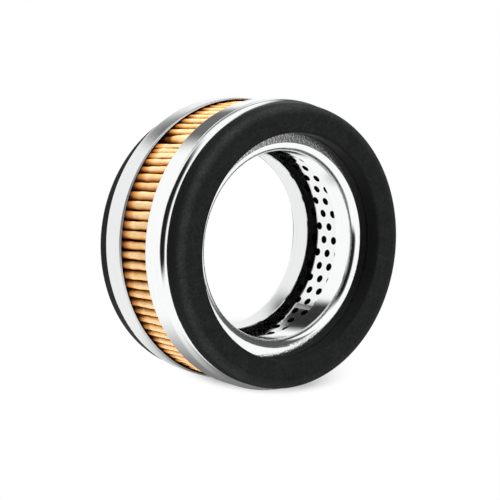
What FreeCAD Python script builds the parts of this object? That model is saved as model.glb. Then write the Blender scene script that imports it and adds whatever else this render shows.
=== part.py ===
import FreeCAD, Part
import math
import os

# A round air filter element that stands on one of its two gaskets.
# The axis is +Z, and the origin is the centre of the lower gasket's resting face.
# Lengths are in millimetres and angles in degrees.

# Overall sizes
cap_diameter = 102.0  # over the outer skirts of the end caps
bore_diameter = 66.0  # clear through the inner skirts
element_height = 36.0  # between the outer faces of the two end caps

# End cap, one tinplate pressing that serves both ends
cap_sheet = 0.4
outer_skirt = 10.5  # from the cap's face to the free edge of its outer skirt
inner_skirt = 9.8  # from the cap's face to the free edge of its inner skirt
shoulder_radius = 2.4  # outside of the bend into the outer skirt
lip_radius = 2.8  # outside of the bend into the inner skirt
hem_radius = 1.0  # outside of the inward curl at the outer skirt's free edge
hem_turn = 60.0  # how far that edge is curled

# Perforated core, a tube set back behind the inner skirts
core_sheet = 0.4
core_setback = 2.4  # between the core and each inner skirt
hole_diameter = 2.9
hole_pitch = 5.35  # between the holes of one column, along the axis
column_spacing = 5.0  # between neighbouring columns, which are staggered by half a pitch
core_margin = 6.5  # from each end of the core to the nearest hole's centre
hole_turn = 1.0  # where the pattern's middle column stands
hole_rise = 3.7  # of a hole of that column above mid-height
hole_skew = 1.6  # climb of the pattern around the core, which was rolled a little askew

# Pleated paper
paper = 0.5
pleat_pitch = 2.46  # between neighbouring inner folds, along their circle
core_gap = 1.0  # between the inner folds and the core
hem_gap = 0.5  # between the outer folds and the curled hems
pleat_gap = 0.6  # between the outer folds of neighbouring pleats
valley_width = 0.4  # open width inside each inner fold
seam_shares = (1.29, 1.27, 0.71, 0.91)  # pleats at the paper's joint, in regular pleat widths
seam_angle = 133.8  # where the first pleat of the joint begins

# Potting compound that bonds the paper and the core into each cap
potting_embed = 1.2  # how deep the paper and the core stand in it

# Gaskets on the cap faces
gasket_thickness = 6.5
gasket_overhang = 0.7  # how far the gasket reaches out over the bend of the shoulder
gasket_width = 10.0  # across the ring
gasket_outer_round = 2.5  # outer edge of the sealing face
gasket_inner_round = 1.0  # inner edge of the sealing face
gasket_base_round = 0.9  # both edges on the cap's face
lower_gasket_shift = 1.0  # the lower gasket is glued on off centre, toward -Y

# Sizes that follow from those above
cap_radius = cap_diameter / 2
bore_radius = bore_diameter / 2
lower_face = gasket_thickness
upper_face = lower_face + element_height
end_level = max(shoulder_radius, lip_radius)
potting_level = end_level + potting_embed
stack_height = element_height - 2 * end_level
stack_base = lower_face + end_level
mid_height = lower_face + element_height / 2
core_inner = bore_radius + cap_sheet + core_setback
core_outer = core_inner + core_sheet
hem_centre = cap_radius - hem_radius
hem_inner = hem_centre + (hem_radius - cap_sheet) * math.cos(math.radians(hem_turn))
fold_inner = core_outer + core_gap
fold_outer = hem_inner - hem_gap

UP = FreeCAD.Vector(0, 0, 1)
ORIGIN = FreeCAD.Vector(0, 0, 0)


def section_point(radius, height):
    """A point of a section that is revolved about the axis."""
    return FreeCAD.Vector(radius, 0, height)


def section_arc(radius, height, bend, start, end):
    """A bend of a section, about a centre at that radius and height."""
    angles = [math.radians(a) for a in (start, (start + end) / 2, end)]
    points = [section_point(radius + bend * math.cos(a), height + bend * math.sin(a)) for a in angles]
    return Part.Arc(*points).toShape()


def joined(pieces):
    """The pieces of an outline in order, with straight runs added between their ends."""
    edges = []
    for piece, following in zip(pieces, pieces[1:] + pieces[:1]):
        edges.append(piece)
        start = piece.lastVertex(True).Point
        end = following.firstVertex(True).Point
        if start.distanceToPoint(end) > 1e-6:
            edges.append(Part.LineSegment(start, end).toShape())
    return Part.Wire(edges)


def revolved(pieces):
    """The solid of revolution of a closed section."""
    return Part.Face(joined(pieces)).revolve(ORIGIN, UP, 360)


def flat_edge(start, end):
    """A straight edge of a section."""
    return Part.LineSegment(section_point(*start), section_point(*end)).toShape()


def end_cap():
    """The pressing with its outer face at height 0 and its skirts pointing down."""
    lip_centre = bore_radius + lip_radius
    shoulder_centre = cap_radius - shoulder_radius
    hem_height = hem_radius * math.sin(math.radians(hem_turn)) - outer_skirt
    return revolved([
        flat_edge((bore_radius + cap_sheet, -inner_skirt), (bore_radius, -inner_skirt)),
        section_arc(lip_centre, -lip_radius, lip_radius, 180, 90),
        section_arc(shoulder_centre, -shoulder_radius, shoulder_radius, 90, 0),
        section_arc(hem_centre, hem_height, hem_radius, 0, -hem_turn),
        section_arc(hem_centre, hem_height, hem_radius - cap_sheet, -hem_turn, 0),
        section_arc(shoulder_centre, -shoulder_radius, shoulder_radius - cap_sheet, 0, 90),
        section_arc(lip_centre, -lip_radius, lip_radius - cap_sheet, 90, 180),
    ])


def potting_ring():
    """The compound in a cap's channel, with a groove that the core and the paper stand in."""
    lip_centre = bore_radius + lip_radius
    shoulder_centre = cap_radius - shoulder_radius
    wall_inner = bore_radius + cap_sheet
    wall_outer = cap_radius - cap_sheet
    return revolved([
        section_arc(lip_centre, -lip_radius, lip_radius - cap_sheet, 180, 90),
        section_arc(shoulder_centre, -shoulder_radius, shoulder_radius - cap_sheet, 90, 0),
        flat_edge((wall_outer, -potting_level), (fold_outer, -potting_level)),
        flat_edge((fold_outer, -end_level), (core_inner, -end_level)),
        flat_edge((core_inner, -potting_level), (wall_inner, -potting_level)),
    ])


def gasket():
    """The rubber ring with its base at height 0 and its sealing face up."""
    outer = cap_radius - shoulder_radius + gasket_overhang
    inner = outer - gasket_width
    base = gasket_base_round
    top_outer = gasket_outer_round
    top_inner = gasket_inner_round
    return revolved([
        section_arc(outer - base, base, base, -90, 0),
        section_arc(outer - top_outer, gasket_thickness - top_outer, top_outer, 0, 90),
        section_arc(inner + top_inner, gasket_thickness - top_inner, top_inner, 90, 180),
        section_arc(inner + base, base, base, 180, 270),
    ])


def polar(radius, angle):
    """A point of the plan, by radius and angle in radians."""
    return FreeCAD.Vector(radius * math.cos(angle), radius * math.sin(angle), 0)


def perforated_core():
    """The tube with staggered columns of holes, in a pattern that climbs a little around it."""
    middle = (core_inner + core_outer) / 2
    columns = round(2 * math.pi * middle / column_spacing)
    step = 2 * math.pi / columns
    climb = step * middle * math.tan(math.radians(hole_skew))
    reach = stack_height / 2 - core_margin
    tube = Part.makeCylinder(core_outer, stack_height, FreeCAD.Vector(0, 0, stack_base), UP)
    inside = Part.makeCylinder(core_inner, stack_height, FreeCAD.Vector(0, 0, stack_base), UP)
    holes = []
    for column in range(-columns // 2, columns // 2):
        outward = polar(1, math.radians(hole_turn) + column * step)
        level = hole_rise + column * climb + column % 2 * hole_pitch / 2
        lowest = math.ceil((-reach - level) / hole_pitch)
        highest = math.floor((reach - level) / hole_pitch)
        for index in range(lowest, highest + 1):
            centre = UP * (mid_height + level + index * hole_pitch)
            start = centre + outward * (core_inner - core_sheet)
            holes.append(Part.makeCylinder(hole_diameter / 2, 3 * core_sheet, start, outward))
    return tube.cut(inside).cut(Part.makeCompound(holes))


def unit(vector):
    """The direction of a vector."""
    return vector * (1 / vector.Length)


def plan_arc(centre, start, end):
    """A short arc of the plan about a centre, from one point to another."""
    first = start - centre
    middle = centre + unit(first + end - centre) * first.Length
    return Part.Arc(start, middle, end).toShape()


class PleatWall:
    """One wall of a pleat, from the edge of its outer fold to the edge of an inner fold.

    The paper is creased sharply on the inside of each fold. The outside of an outer fold
    is an arc about that crease, and the outside of an inner fold is mitred.
    """

    def __init__(self, axis, half_width, side):
        tip_half = half_width - pleat_gap / 2 / fold_outer - paper / (fold_outer - paper)
        valley_half = valley_width / 2 / (fold_inner + paper)
        self.tip = polar(fold_outer - paper, axis + side * tip_half)
        self.valley = polar(fold_inner + paper, axis + side * (half_width - valley_half))
        run = self.valley - self.tip
        along = unit(run)
        across = FreeCAD.Vector(along.y, -along.x, 0) * side
        lean = paper / run.Length
        normal = along * lean + across * math.sqrt(1 - lean * lean)
        outward = unit(self.valley)
        self.tip_wall = self.tip + normal * paper
        self.tip_crown = self.tip + unit(self.tip) * paper
        self.valley_mitre = self.valley - (normal + outward) * (paper / (1 + normal.dot(outward)))


def pleat_walls():
    """The two walls of every pleat in order around the axis, the joint's pleats first."""
    regular = round(2 * math.pi * fold_inner / pleat_pitch) - len(seam_shares)
    shares = list(seam_shares) + [1.0] * regular
    regular_width = 2 * math.pi / sum(shares)
    start = math.radians(seam_angle)
    walls = []
    for share in shares:
        half = share * regular_width / 2
        walls.append((PleatWall(start + half, half, -1), PleatWall(start + half, half, 1)))
        start += 2 * half
    return walls


def pleated_media():
    """The folded paper: its outer and inner outlines, extruded to the height of the stack."""
    walls = pleat_walls()
    outside = []
    inside = []
    for (first, second), (following, _) in zip(walls, walls[1:] + walls[:1]):
        outside.append(plan_arc(first.tip, first.tip_wall, first.tip_crown))
        outside.append(plan_arc(ORIGIN, first.tip_crown, second.tip_crown))
        outside.append(plan_arc(second.tip, second.tip_crown, second.tip_wall))
        outside.append(plan_arc(ORIGIN, second.valley, following.valley))
        inside.append(plan_arc(ORIGIN, first.tip, second.tip))
        inside.append(plan_arc(ORIGIN, second.valley_mitre, following.valley_mitre))
    plan = Part.makeFace([joined(outside), joined(inside)], "Part::FaceMakerBullseye")
    media = plan.extrude(UP * stack_height)
    media.translate(UP * stack_base)
    return media


def at_upper_end(shape):
    """A copy of a piece made on a face at height 0, moved to the upper cap's face."""
    placed = shape.copy()
    placed.translate(UP * upper_face)
    return placed


def at_lower_end(shape):
    """A copy of such a piece, turned over onto the lower cap's face."""
    placed = shape.copy()
    placed.rotate(ORIGIN, FreeCAD.Vector(1, 0, 0), 180)
    placed.translate(UP * lower_face)
    return placed


def main():
    os.makedirs("parts", exist_ok=True)
    cap = end_cap()
    ring = gasket()
    lower_ring = at_lower_end(ring)
    lower_ring.translate(FreeCAD.Vector(0, -lower_gasket_shift, 0))
    potting = potting_ring()
    pieces = {
        "upper_end_cap": at_upper_end(cap),
        "lower_end_cap": at_lower_end(cap),
        "upper_gasket": at_upper_end(ring),
        "lower_gasket": lower_ring,
        "perforated_core": perforated_core(),
        "pleated_media": pleated_media(),
        "upper_potting": at_upper_end(potting),
        "lower_potting": at_lower_end(potting),
    }
    for name, shape in pieces.items():
        shape.exportStep(os.path.join("parts", name + ".step"))


main()
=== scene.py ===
import math
import random

import bpy
from mathutils import Matrix, Vector


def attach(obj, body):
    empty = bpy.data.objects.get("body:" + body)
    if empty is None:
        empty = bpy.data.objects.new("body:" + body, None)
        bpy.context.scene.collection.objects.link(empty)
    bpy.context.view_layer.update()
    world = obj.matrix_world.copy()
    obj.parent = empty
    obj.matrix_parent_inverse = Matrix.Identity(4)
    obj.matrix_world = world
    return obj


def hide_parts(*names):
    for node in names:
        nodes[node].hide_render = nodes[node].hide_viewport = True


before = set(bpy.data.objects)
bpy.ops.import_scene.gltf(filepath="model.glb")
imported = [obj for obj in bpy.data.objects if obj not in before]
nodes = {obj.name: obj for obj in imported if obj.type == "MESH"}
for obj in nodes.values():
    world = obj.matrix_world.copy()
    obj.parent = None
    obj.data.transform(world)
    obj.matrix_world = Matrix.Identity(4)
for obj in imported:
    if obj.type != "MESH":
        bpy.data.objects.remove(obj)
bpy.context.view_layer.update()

MM = 0.001

# Camera, fitted to the photograph's skirt, gasket and bore ellipses
CAMERA_AIM = Vector((-0.6, -3.2, 24.3)) * MM
CAMERA_DISTANCE = 447.2 * MM
CAMERA_AZIMUTH = math.radians(-97.19)
CAMERA_ELEVATION = math.radians(51.3)
CAMERA_ROLL = math.radians(99.18)
CAMERA_LENS = 89.88
SENSOR_WIDTH = 36.0

# Folded paper, in millimetres and radians
PLEAT_SEED = 7
JOINT_SHARES = (1.40, 0.65, 0.60, 0.71, 0.92, 0.85)  # widths of the pleats at the joint, which come first
JOINT_ANGLE = math.radians(133.0)
JOINT_OPENING = 2.0
JOINT_CLOSED = 27.5  # the height where the joint's opening ends
OPENING_SINK = 0.2  # how far the opened edge sinks, per square of its opening
WIDE_PLEATS = 14
WIDE_SHARE = 1.035
NARROW_PLEATS = 76
NARROW_SHARE = 0.984
FOLD_OUTER = 49.8
FOLD_INNER = 37.2
PAPER = 0.5
PAPER_LOW = 9.3
PAPER_HIGH = 39.7
PAPER_MIDDLE = 24.5
PAPER_SHOWN = 7.5  # half of the height that shows between the skirts
LOWER_HEM = PAPER_MIDDLE - PAPER_SHOWN
PLEAT_GAP = 0.5
PLEAT_VALLEY = 0.2  # half of the width between two walls at an inner fold
PLEAT_SKEW = 0.00103  # turn per millimetre of height
WALL_PARTS = (0.0, 0.55, 0.9)  # where a wall has points, from its foot to its crown
PAPER_ROWS = 20
CROWN = 0.9  # how far a crown's sides drop
CROWN_SPREAD = 0.15
CROWN_POINTS = 9
CROWN_ROUNDNESS = 0.97
CROWN_BIAS = 0.55  # how much more one side drops, the other side beyond BIAS_TURNS_AT degrees
BIAS_TURNS_AT = 190
BIAS_TURN = 36
BIAS_SPREAD = 0.15
APEX_SHIFT = 0.6
SINK_SPREAD = 0.12
LEAN_SPREAD = 0.12
EDGE_WAVE = 0.07
RISE_WAVE = 0.07
WAVES = ((1.0, 14, 30), (0.6, 5, 9), (0.2, 2.2, 4))  # share of the size, shortest and longest wavelength
LAYER_CROWN = 0.3  # of the thin layers at the joint
LAYER_GAP = 0.1

# Finishes, in millimetres where they are lengths
NOISE_LOW = 0.25
NOISE_HIGH = 0.75
# The paper's own tint on the outer folds, then painted shade, darker with depth, down into the creases
PAPER_TINTS_AND_CREASE_SHADE = (  # from the outer folds down into the creases
    (0.0, (0.95, 0.68, 0.39)),
    (0.035, (0.93, 0.63, 0.32)),
    (0.075, (0.87, 0.50, 0.19)),
    (0.15, (0.63, 0.26, 0.058)),
    (0.265, (0.16, 0.047, 0.009)),
    (1.0, (0.012, 0.006, 0.003)),
)
CREASE_DEPTH = 4.0
HEM_SHADE = 0.19  # painted shade: how much darker the paper is beside the lower hem, which shades it
HEM_SHADE_REACH = 4.6
GASKET_OUTER = 49.3
WALL_SHADE = 0.42  # painted shade: how dark the gaskets' walls are beside their faces
EDGE_HIGHLIGHT = 1.2  # painted highlight: how much paler their rounded outer edges are
EDGE_FROM = GASKET_OUTER - 3.6
EDGE_TO = GASKET_OUTER - 1.0
LINE_TURN = 0.0006  # how little a drawn line changes around the axis
LINE_RELIEF = 0.08
SCUFFED_FROM = 35.2  # the ring of the cap's face that handling has scuffed
SCUFFED_TO = 42.5
SCUFF_FADE = 1.0
SCUFF_RELIEF = 1.3
HEM_FROM = 47.0  # radius outside which the skirts' curled hems are
HEM_BEGINS = PAPER_SHOWN + 1.0  # heights from the middle between which the curl begins
HEM_CURLED = PAPER_SHOWN + 0.3
HEM_DULLNESS = 0.3

# Stage, in metres, with the cards in millimetres
FLOOR_HALF = 3.0
FLOOR_DROP = 0.05 * MM
FLOOR_GREY = (0.85, 0.85, 0.85, 1)
SHADOW_CENTRE = 0.046  # the side shadow's curved edge, as a parabola in x
SHADOW_BEND = 0.282
SHADOW_REACH = 0.064
SIDE_SHADOW = 0.95
FOOT_SHADOW = 0.7
TENT_RADIUS = 1.2
TENT_STEP = 2
CARD_CELLS = 60
RIM_CARD_LEVEL = -58.0
RIM_CARD_X = (-80, 80)
RIM_CARD_Z = (-60, 80)
REAR_CARD_LEVEL = -30.0
REAR_CARD_X = (-110, 100)
REAR_CARD_Y = (-90, 130)
WORLD_LEVEL = 0.3
LIT_POINT = Vector((0, 0, 25)) * MM
LAMPS = (  # name, place, size and power
    ("key", Vector((-0.1, 0.72, 0.28)), 0.3, 7.5),
    ("fill", Vector((-0.3, -0.62, 0.2)), 0.5, 4.5),
)


def soft_step(value, edge, softness):
    """From 0 to 1 as a value passes an edge."""
    share = min(max((value - edge) / softness + 0.5, 0.0), 1.0)
    return share * share * (3 - 2 * share)


def window(value, low, high, softness):
    """1 between two edges and 0 beyond them."""
    return soft_step(value, low, softness) * (1 - soft_step(value, high, softness))


def add_object(name, data):
    made = bpy.data.objects.new(name, data)
    bpy.context.scene.collection.objects.link(made)
    return made


def camera_back():
    """The direction from the aimed point to the camera."""
    flat = math.cos(CAMERA_ELEVATION)
    return Vector((
        math.sin(CAMERA_AZIMUTH) * flat,
        -math.cos(CAMERA_AZIMUTH) * flat,
        math.sin(CAMERA_ELEVATION),
    ))


def add_camera():
    data = bpy.data.cameras.new("camera")
    data.lens = CAMERA_LENS
    data.sensor_width = SENSOR_WIDTH
    camera = add_object("camera", data)
    back = camera_back()
    level = back.to_track_quat("Z", "Y").to_matrix()
    turn = Matrix.Rotation(CAMERA_ROLL, 3, back)
    camera.matrix_world = (turn @ level).to_4x4()
    camera.location = CAMERA_AIM + back * CAMERA_DISTANCE
    bpy.context.scene.camera = camera


class Shader:
    """A material's node tree, with short calls for the nodes that it needs."""

    def __init__(self, name):
        self.material = bpy.data.materials.new(name)
        self.material.use_nodes = True
        self.tree = self.material.node_tree
        self.tree.nodes.clear()
        self.output = self.tree.nodes.new("ShaderNodeOutputMaterial")

    def node(self, kind, **settings):
        made = self.tree.nodes.new(kind)
        for key, value in settings.items():
            setattr(made, key, value)
        return made

    def link(self, source, target):
        self.tree.links.new(source, target)

    def feed(self, socket, value):
        """Set a socket to a constant, or link an output to it."""
        if isinstance(value, bpy.types.NodeSocket):
            self.link(value, socket)
        else:
            socket.default_value = value

    def math(self, operation, *values):
        made = self.node("ShaderNodeMath", operation=operation)
        for socket, value in zip(made.inputs, values):
            self.feed(socket, value)
        return made.outputs[0]

    def plus(self, total, *values):
        for value in values:
            total = self.math("ADD", total, value)
        return total

    def times(self, product, *values):
        for value in values:
            product = self.math("MULTIPLY", product, value)
        return product

    def place(self):
        """The shaded point in the piece's own axes."""
        return self.node("ShaderNodeTexCoord").outputs["Object"]

    def split(self, vector):
        parts = self.node("ShaderNodeSeparateXYZ")
        self.link(vector, parts.inputs[0])
        return parts.outputs

    def distance(self, x, y):
        return self.math("SQRT", self.plus(self.times(x, x), self.times(y, y)))

    def cylinder(self):
        """The radius, angle and height of the shaded point about the filter's axis."""
        x, y, z = self.split(self.place())
        return self.distance(x, y), self.math("ARCTAN2", y, x), z

    def vector(self, x, y, z):
        made = self.node("ShaderNodeCombineXYZ")
        for socket, value in zip(made.inputs, (x, y, z)):
            self.feed(socket, value)
        return made.outputs[0]

    def noise(self, place, scale, detail=2.0):
        made = self.node("ShaderNodeTexNoise")
        self.link(place, made.inputs["Vector"])
        made.inputs["Scale"].default_value = scale
        made.inputs["Detail"].default_value = detail
        return made.outputs["Fac"]

    def ranged(self, value, low, high, kind="LINEAR"):
        """A node that takes a value from the range between low and high to 0 to 1."""
        made = self.node("ShaderNodeMapRange", interpolation_type=kind)
        self.link(value, made.inputs["Value"])
        made.inputs["From Min"].default_value = low
        made.inputs["From Max"].default_value = high
        return made

    def spread(self, value, low, high):
        """A noise value, whose middle half is stretched over a range."""
        made = self.ranged(value, NOISE_LOW, NOISE_HIGH)
        made.inputs["To Min"].default_value = low
        made.inputs["To Max"].default_value = high
        return made.outputs[0]

    def share(self, value, low, high):
        """From 0 to 1, evenly, as a value goes from low to high."""
        return self.ranged(value, low, high).outputs[0]

    def smooth(self, value, low, high):
        """From 0 to 1, smoothly, as a value goes from low to high."""
        return self.ranged(value, low, high, "SMOOTHSTEP").outputs[0]

    def ramp(self, value, stops):
        made = self.node("ShaderNodeValToRGB")
        self.link(value, made.inputs["Fac"])
        points = made.color_ramp.elements
        while len(points) < len(stops):
            points.new(1.0)
        for point, (position, colour) in zip(points, stops):
            point.position = position
            point.color = (*colour, 1)
        return made.outputs["Color"]

    def shaded(self, colour, factor):
        """A colour, multiplied by a factor that varies over the surface."""
        made = self.node("ShaderNodeVectorMath", operation="SCALE")
        self.feed(made.inputs[0], colour)
        self.link(factor, made.inputs["Scale"])
        return made.outputs[0]

    def bump(self, height, strength, distance):
        made = self.node("ShaderNodeBump")
        self.link(height, made.inputs["Height"])
        made.inputs["Strength"].default_value = strength
        made.inputs["Distance"].default_value = distance
        return made.outputs[0]

    def principled(self, colour, roughness, normal, metallic=0.0, specular=0.5):
        made = self.node("ShaderNodeBsdfPrincipled")
        self.feed(made.inputs["Base Color"], colour)
        self.feed(made.inputs["Roughness"], roughness)
        self.link(normal, made.inputs["Normal"])
        made.inputs["Metallic"].default_value = metallic
        made.inputs["Specular IOR Level"].default_value = specular
        self.link(made.outputs[0], self.output.inputs["Surface"])
        return self.material


def tinplate(name, colour, smooth, rough, scuffed=0.0):
    """Bright sheet with lines drawn around the axis and faint smears, dull hems and a scuffed face."""
    shader = Shader(name)
    radius, angle, height = shader.cylinder()
    lines = shader.noise(shader.vector(radius, shader.times(angle, LINE_TURN), height), 3200.0)
    smears = shader.noise(shader.place(), 70.0, 4.0)
    from_middle = shader.math("ABSOLUTE", shader.math("SUBTRACT", height, PAPER_MIDDLE * MM))
    curled = shader.share(from_middle, HEM_BEGINS * MM, HEM_CURLED * MM)
    hem = shader.times(curled, shader.share(radius, (HEM_FROM - 1.0) * MM, HEM_FROM * MM))
    roughness = shader.plus(
        shader.spread(smears, smooth, rough),
        shader.spread(lines, 0.0, 0.03),
        shader.times(hem, HEM_DULLNESS),
    )
    inside = shader.smooth(radius, SCUFFED_FROM * MM, (SCUFFED_FROM + SCUFF_FADE) * MM)
    outside = shader.smooth(radius, SCUFFED_TO * MM, (SCUFFED_TO - SCUFF_FADE) * MM)
    dents = shader.noise(shader.place(), 1300.0, 3.0)
    scuffs = shader.times(inside, outside, shader.spread(dents, 0.0, 1.0))
    relief = shader.plus(shader.times(lines, LINE_RELIEF), shader.times(scuffs, scuffed))
    tint = shader.shaded(colour, shader.spread(lines, 0.97, 1.03))
    return shader.principled(tint, roughness, shader.bump(relief, 1.0, 0.02 * MM), metallic=1.0)


def rubber(name, colour):
    """Soft black rubber with a fine grain and a faint bloom, painted shade on its walls and a painted
    highlight on its rounded outer edge.
    """
    shader = Shader(name)
    place = shader.place()
    grain = shader.noise(place, 1500.0, 3.0)
    bloom = shader.noise(place, 160.0, 5.0)
    # Painted shade on the walls, where the normal lies flat, and a painted highlight on the rounded outer
    # edge
    normal = shader.node("ShaderNodeNewGeometry").outputs["Normal"]
    flat = shader.math("ABSOLUTE", shader.split(normal)["Z"])
    wall = shader.plus(shader.times(flat, 1 - WALL_SHADE), WALL_SHADE)
    radius = shader.cylinder()[0]
    edge = shader.share(radius, EDGE_FROM * MM, EDGE_TO * MM)
    edge_highlight = shader.plus(shader.times(edge, flat, EDGE_HIGHLIGHT), 1.0)
    factor = shader.times(shader.spread(grain, 0.6, 1.4), shader.spread(bloom, 0.8, 1.25), wall, edge_highlight)
    roughness = shader.spread(bloom, 0.5, 0.62)
    relief = shader.bump(grain, 0.25, 0.05 * MM)
    return shader.principled(shader.shaded(colour, factor), roughness, relief, specular=0.04)


def paper(name):
    """Resin-treated paper: its own light tint on the folds, with painted shade from brown to black down into
    the creases and beside the lower hem.
    """
    shader = Shader(name)
    radius, angle, height = shader.cylinder()
    along = shader.vector(shader.times(angle, 0.05), radius, shader.times(height, 0.35))
    fibres = shader.noise(along, 2600.0, 4.0)
    blotches = shader.noise(along, 420.0, 3.0)
    # Painted shade: the colour darkens with depth into the creases and near the lower hem
    depth = shader.share(radius, FOLD_OUTER * MM, (FOLD_OUTER - CREASE_DEPTH) * MM)
    near_hem = shader.share(height, (LOWER_HEM + HEM_SHADE_REACH) * MM, LOWER_HEM * MM)
    tint = shader.ramp(shader.plus(depth, shader.times(near_hem, HEM_SHADE)), PAPER_TINTS_AND_CREASE_SHADE)
    factor = shader.times(shader.spread(fibres, 0.90, 1.08), shader.spread(blotches, 0.88, 1.10))
    relief = shader.bump(fibres, 0.3, 0.08 * MM)
    return shader.principled(shader.shaded(tint, factor), 0.85, relief, specular=0.2)


def compound(name, colour):
    """Cured compound, dull and a little uneven."""
    shader = Shader(name)
    patches = shader.noise(shader.place(), 300.0)
    tint = shader.shaded(colour, shader.spread(patches, 0.8, 1.2))
    return shader.principled(tint, 0.6, shader.bump(patches, 0.2, 0.1 * MM))


class Wave:
    """A smooth irregular line along the height, made of a few sines."""

    def __init__(self, dice, size):
        self.parts = [
            (size * share, 2 * math.pi / dice.uniform(shortest, longest), dice.uniform(0, 2 * math.pi))
            for share, shortest, longest in WAVES
        ]

    def at(self, height):
        return sum(size * math.sin(pace * height + phase) for size, pace, phase in self.parts)


class Pleat:
    """One pleat between its two boundary angles, with its own irregular edges and crown."""

    def __init__(self, dice, start, end):
        self.start = start
        self.end = end
        self.edges = (Wave(dice, EDGE_WAVE), Wave(dice, EDGE_WAVE))
        self.rise = Wave(dice, RISE_WAVE)
        self.sink = dice.uniform(0.0, SINK_SPREAD)
        self.lean = dice.uniform(-LEAN_SPREAD, LEAN_SPREAD)
        middle = math.degrees((start + end) / 2) % 360
        bias = CROWN_BIAS * (1 - 2 * soft_step(middle, BIAS_TURNS_AT, BIAS_TURN))
        bias += dice.uniform(-BIAS_SPREAD, BIAS_SPREAD)
        crown = CROWN * dice.uniform(1 - CROWN_SPREAD, 1 + CROWN_SPREAD)
        self.crowns = (crown * (1 - bias), crown * (1 + bias))
        self.apex = -APEX_SHIFT * bias
        self.gap = PLEAT_GAP / 2
        self.opening = 0.0

    def drop(self, across):
        """How far the crown lies under its top, at a place from -1 to 1 across it."""
        if across < self.apex:
            size = self.crowns[0]
            share = (self.apex - across) / (self.apex + 1)
        else:
            size = self.crowns[1]
            share = (across - self.apex) / (1 - self.apex)
        rounded = size * (1 - math.sqrt(1 - CROWN_ROUNDNESS * share * share))
        return max(rounded + self.lean * (across + 1) / 2 * abs(across), 0.0)

    def outline(self, height, inset):
        """The (radius, angle) points across the pleat at a height, from valley to valley."""
        twist = -PLEAT_SKEW * (height - PAPER_MIDDLE)
        opened = min(max((JOINT_CLOSED - height) / (JOINT_CLOSED - LOWER_HEM), 0.0), 1.0)
        opening = self.opening * opened
        low = self.start + (self.gap + self.edges[0].at(height) + inset) / FOLD_OUTER
        high = self.end - (self.gap + opening + self.edges[1].at(height) + inset) / FOLD_OUTER
        rise = min(self.rise.at(height), self.sink)
        top = FOLD_OUTER - self.sink + rise - OPENING_SINK * opening ** 2 - inset
        foot = FOLD_INNER + PAPER - inset
        crown = []
        for index in range(CROWN_POINTS):
            across = 2 * index / (CROWN_POINTS - 1) - 1
            crown.append((top - self.drop(across), low + (high - low) * (across + 1) / 2))
        valley = PLEAT_VALLEY + inset
        walls = []
        for corner, boundary, side in ((crown[0], self.start, 1), (crown[-1], self.end, -1)):
            bottom = boundary + side * valley / foot
            walls.append([
                (foot + (corner[0] - foot) * part, bottom + (corner[1] - bottom) * part)
                for part in WALL_PARTS
            ])
        points = walls[0] + crown + walls[1][::-1]
        return [(radius, angle + twist) for radius, angle in points]


def pleats():
    """All the pleats around the filter, with the joint's opened edge and thin layers first."""
    dice = random.Random(PLEAT_SEED)
    shares = [*JOINT_SHARES] + [WIDE_SHARE] * WIDE_PLEATS + [NARROW_SHARE] * NARROW_PLEATS
    width = 2 * math.pi / sum(shares)
    start = JOINT_ANGLE
    made = []
    for share in shares:
        made.append(Pleat(dice, start, start + share * width))
        start += share * width
    made[0].opening = JOINT_OPENING
    for layer in made[1:4]:
        layer.crowns = (LAYER_CROWN, LAYER_CROWN)
        layer.apex = 0.0
        layer.gap = LAYER_GAP
    return made


def add_paper(material):
    """The folded paper as one closed strip of its real thickness."""
    folded = pleats()
    rows = [PAPER_LOW + (PAPER_HIGH - PAPER_LOW) * row / PAPER_ROWS for row in range(PAPER_ROWS + 1)]
    vertices = []
    for inset in (0.0, PAPER):
        for height in rows:
            for pleat in folded:
                for radius, angle in pleat.outline(height, inset):
                    vertices.append((
                        radius * math.cos(angle) * MM,
                        radius * math.sin(angle) * MM,
                        height * MM,
                    ))
    around = len(vertices) // (2 * len(rows))
    inner = around * len(rows)
    top = around * PAPER_ROWS
    faces = []
    for column in range(around):
        following = (column + 1) % around
        for low in range(0, top, around):
            high = low + around
            outside = (low + column, low + following, high + following, high + column)
            faces.append(outside)
            inside = (high + column, high + following, low + following, low + column)
            faces.append([inner + corner for corner in inside])
        faces.append((column, inner + column, inner + following, following))
        faces.append((top + following, inner + top + following, inner + top + column, top + column))
    mesh = bpy.data.meshes.new("folded_paper")
    mesh.from_pydata(vertices, [], faces)
    mesh.polygons.foreach_set("use_smooth", [True] * len(mesh.polygons))
    mesh.materials.append(material)
    strip = add_object("folded_paper", mesh)
    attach(strip, "root")
    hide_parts("pleated_media")


def tent_shade(azimuth, elevation):
    """How bright the studio's tent, a painted reflection, is in a direction, both in degrees: white, with
    dark openings.
    """
    signed = (azimuth + 180) % 360 - 180
    camera_end = 192 + 11 * soft_step(elevation, -8, 12)
    camera_low = -3 - 17 * soft_step(azimuth, 152, 20)
    camera_side = soft_step(azimuth, 118, 24) * (1 - soft_step(azimuth, camera_end, 14))
    camera_side *= soft_step(elevation, camera_low, 8) * (1 - soft_step(elevation, 59, 22))
    right_edge = 6 - 11 * soft_step(elevation, 30, 20)
    upper_right = window(signed, right_edge, 60, 10) * window(elevation, -14, 56, 8)
    behind_top = soft_step(azimuth, 76, 22) * (1 - soft_step(azimuth, 118, 48))
    behind_top *= window(elevation, -36, -10, 16)
    seam = window(azimuth, 52, 94, 14) * window(elevation, -9, 1, 6)
    shade = 1.0
    for strength, part in ((0.985, camera_side), (0.9, upper_right), (0.82, behind_top), (0.7, seam)):
        shade *= 1 - strength * part
    return shade


def rim_shade(x, z):
    """How bright the card under the rim is at a place in millimetres: a painted reflection of shade under
    the rim, dark, and white at its edges.
    """
    lower_edge = -13 - 0.6 * max(x, 0.0)
    across = soft_step(x, -40, 50) * (1 - soft_step(x, 72, 14))
    along = soft_step(z, lower_edge, 30) * (1 - soft_step(z, 70, 16))
    return 1 - 0.79 * across * along


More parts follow.
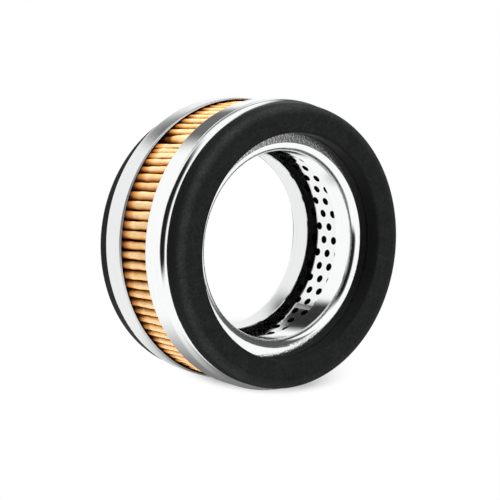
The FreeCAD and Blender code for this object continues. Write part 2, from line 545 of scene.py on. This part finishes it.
def rear_shade(x, y):
    """How bright the card behind the far end is at a place in millimetres: painted reflections, white, with
    dark patches.
    """
    outer_edge = 12 + 1.75 * (y - 85)
    outer = soft_step(x, -45, 24) * (1 - soft_step(x, outer_edge, 26)) * window(y, 58, 110, 10)
    inner_edge = min(9.5 - 0.65 * (y - 27), 13.0)
    inner = soft_step(x, inner_edge, 8) * (1 - soft_step(x, 46, 12)) * window(y, 11.5, 49, 9)
    corner = window(x, 22, 85, 20) * window(y, -75, -38, 14)
    return (1 - 0.85 * outer) * (1 - 0.97 * inner) * (1 - 0.8 * corner)


def hide_from_all_but_reflections(cloth):
    cloth.visible_camera = False
    cloth.visible_diffuse = False
    cloth.visible_transmission = False
    cloth.visible_volume_scatter = False
    cloth.visible_shadow = False


def painted_cloth():
    """A glowing cloth whose brightness is painted on its points."""
    shader = Shader("painted_cloth")
    glow = shader.node("ShaderNodeEmission")
    painted = shader.node("ShaderNodeAttribute", attribute_name="shade")
    shader.link(painted.outputs["Fac"], glow.inputs["Strength"])
    shader.link(glow.outputs[0], shader.output.inputs["Surface"])
    return shader.material


def add_cloth(name, rows, closed, material):
    """A cloth for reflections only, from rows of (place, shade) points; the rows may close on themselves."""
    width = len(rows[0])
    vertices = [place for row in rows for place, _ in row]
    shades = [shade for row in rows for _, shade in row]
    faces = []
    for index in range(len(rows) - 1):
        for column in range(width if closed else width - 1):
            following = (column + 1) % width
            low = index * width
            high = low + width
            faces.append((low + column, low + following, high + following, high + column))
    mesh = bpy.data.meshes.new(name)
    mesh.from_pydata(vertices, [], faces)
    mesh.attributes.new("shade", "FLOAT", "POINT").data.foreach_set("value", shades)
    mesh.materials.append(material)
    cloth = add_object(name, mesh)
    hide_from_all_but_reflections(cloth)


def add_tent(material):
    """A painted tent around the filter."""
    rows = []
    for elevation in range(-90, 91, TENT_STEP):
        flat = math.cos(math.radians(elevation))
        row = []
        for azimuth in range(0, 360, TENT_STEP):
            turn = math.radians(azimuth)
            place = Vector((flat * math.cos(turn), flat * math.sin(turn), math.sin(math.radians(elevation))))
            row.append((place * TENT_RADIUS, tent_shade(azimuth, elevation)))
        rows.append(row)
    add_cloth("tent", rows, True, material)


def evenly(span):
    """The places along a card's side, from one end of its span to the other."""
    low, high = span
    return [low + (high - low) * step / CARD_CELLS for step in range(CARD_CELLS + 1)]


def add_card(name, place, first_span, second_span, shade, material):
    """A flat painted card, over two spans in millimetres."""
    rows = [
        [(Vector(place(first, second)) * MM, shade(first, second)) for first in evenly(first_span)]
        for second in evenly(second_span)
    ]
    add_cloth(name, rows, False, material)


def floor_shadow(shader):
    """How much of the floor's own shading shows through its white: a painted shadow shape at the filter's
    foot and on one side, inside which the real shadow shows too.
    """
    x, y, _ = shader.split(shader.place())
    from_centre = shader.math("SUBTRACT", x, SHADOW_CENTRE)
    bend = shader.math("DIVIDE", shader.math("POWER", from_centre, 2.0), SHADOW_BEND)
    edge = shader.math("SUBTRACT", shader.plus(y, SHADOW_REACH), bend)
    side = shader.times(
        shader.smooth(edge, 0.0, 0.004),
        shader.smooth(y, -0.03, -0.045),
        shader.smooth(x, 0.078, 0.05),
        shader.smooth(x, -0.014, 0.008),
    )
    radius = shader.distance(x, y)
    foot = shader.times(
        shader.smooth(radius, 0.040, 0.045),
        shader.smooth(radius, 0.054, 0.050),
        shader.smooth(x, 0.0, 0.015),
    )
    return shader.math("MAXIMUM", shader.times(side, SIDE_SHADOW), shader.times(foot, FOOT_SHADOW))


def floor_material():
    """White to the camera, apart from a painted shadow shape in which the floor's lit and shadowed grey
    shows.
    """
    shader = Shader("floor_white")
    lit = shader.math("SUBTRACT", 1.0, floor_shadow(shader))
    seen = shader.node("ShaderNodeLightPath").outputs["Is Camera Ray"]
    diffuse = shader.node("ShaderNodeBsdfDiffuse")
    diffuse.inputs["Color"].default_value = FLOOR_GREY
    glow = shader.node("ShaderNodeEmission")
    mix = shader.node("ShaderNodeMixShader")
    shader.link(shader.times(seen, lit), mix.inputs["Fac"])
    shader.link(diffuse.outputs[0], mix.inputs[1])
    shader.link(glow.outputs[0], mix.inputs[2])
    shader.link(mix.outputs[0], shader.output.inputs["Surface"])
    return shader.material


def add_floor():
    mesh = bpy.data.meshes.new("floor")
    signs = ((-1, -1), (1, -1), (1, 1), (-1, 1))
    corners = [(x * FLOOR_HALF, y * FLOOR_HALF, -FLOOR_DROP) for x, y in signs]
    mesh.from_pydata(corners, [], [(0, 1, 2, 3)])
    mesh.materials.append(floor_material())
    floor = add_object("floor", mesh)
    floor.visible_glossy = False


def add_world():
    """An even white studio, full white to the camera and low on the filter."""
    world = bpy.data.worlds.new("studio")
    bpy.context.scene.world = world
    world.use_nodes = True
    tree = world.node_tree
    background = tree.nodes["Background"]
    background.inputs["Color"].default_value = (1, 1, 1, 1)
    seen = tree.nodes.new("ShaderNodeLightPath").outputs["Is Camera Ray"]
    level = tree.nodes.new("ShaderNodeMapRange")
    tree.links.new(seen, level.inputs["Value"])
    level.inputs["To Min"].default_value = WORLD_LEVEL
    level.inputs["To Max"].default_value = 1.0
    tree.links.new(level.outputs[0], background.inputs["Strength"])


def add_lamp(name, location, size, power):
    data = bpy.data.lights.new(name, "AREA")
    data.energy = power
    data.size = size
    lamp = add_object(name, data)
    lamp.location = location
    lamp.rotation_mode = "QUATERNION"
    lamp.rotation_quaternion = (location - LIT_POINT).to_track_quat("Z", "Y")
    lamp.visible_glossy = False


def dress(names, material):
    for name in names:
        nodes[name].data.materials.clear()
        nodes[name].data.materials.append(material)


dress(["upper_end_cap"], tinplate("cap_tinplate", (0.95, 0.955, 0.96), 0.07, 0.11, SCUFF_RELIEF))
# The lower cap is the same pressing with a rougher finish; its greyer colour is painted shade for the far
# end's darker reflections
dress(["lower_end_cap"], tinplate("cap_tinplate_rougher_painted_greyer", (0.84, 0.845, 0.85), 0.12, 0.18, SCUFF_RELIEF))
dress(["perforated_core"], tinplate("core_tinplate", (0.90, 0.905, 0.91), 0.06, 0.10))
dress(["upper_gasket"], rubber("gasket_rubber", (0.0162, 0.0168, 0.0168)))
# The lower gasket is the same rubber as the upper one, painted paler as painted light on its lit wall
dress(["lower_gasket"], rubber("gasket_rubber_painted_paler", (0.034, 0.035, 0.035)))
dress(["upper_potting", "lower_potting"], compound("potting_plastisol", (0.03, 0.03, 0.03)))
add_paper(paper("filter_paper"))

add_camera()
add_floor()
cloth = painted_cloth()
add_tent(cloth)
add_card("rim_card", lambda x, z: (x, RIM_CARD_LEVEL, z), RIM_CARD_X, RIM_CARD_Z, rim_shade, cloth)
add_card("rear_card", lambda x, y: (x, y, REAR_CARD_LEVEL), REAR_CARD_X, REAR_CARD_Y, rear_shade, cloth)
add_world()
for lamp in LAMPS:
    add_lamp(*lamp)

bpy.context.scene.view_settings.view_transform = "Standard"
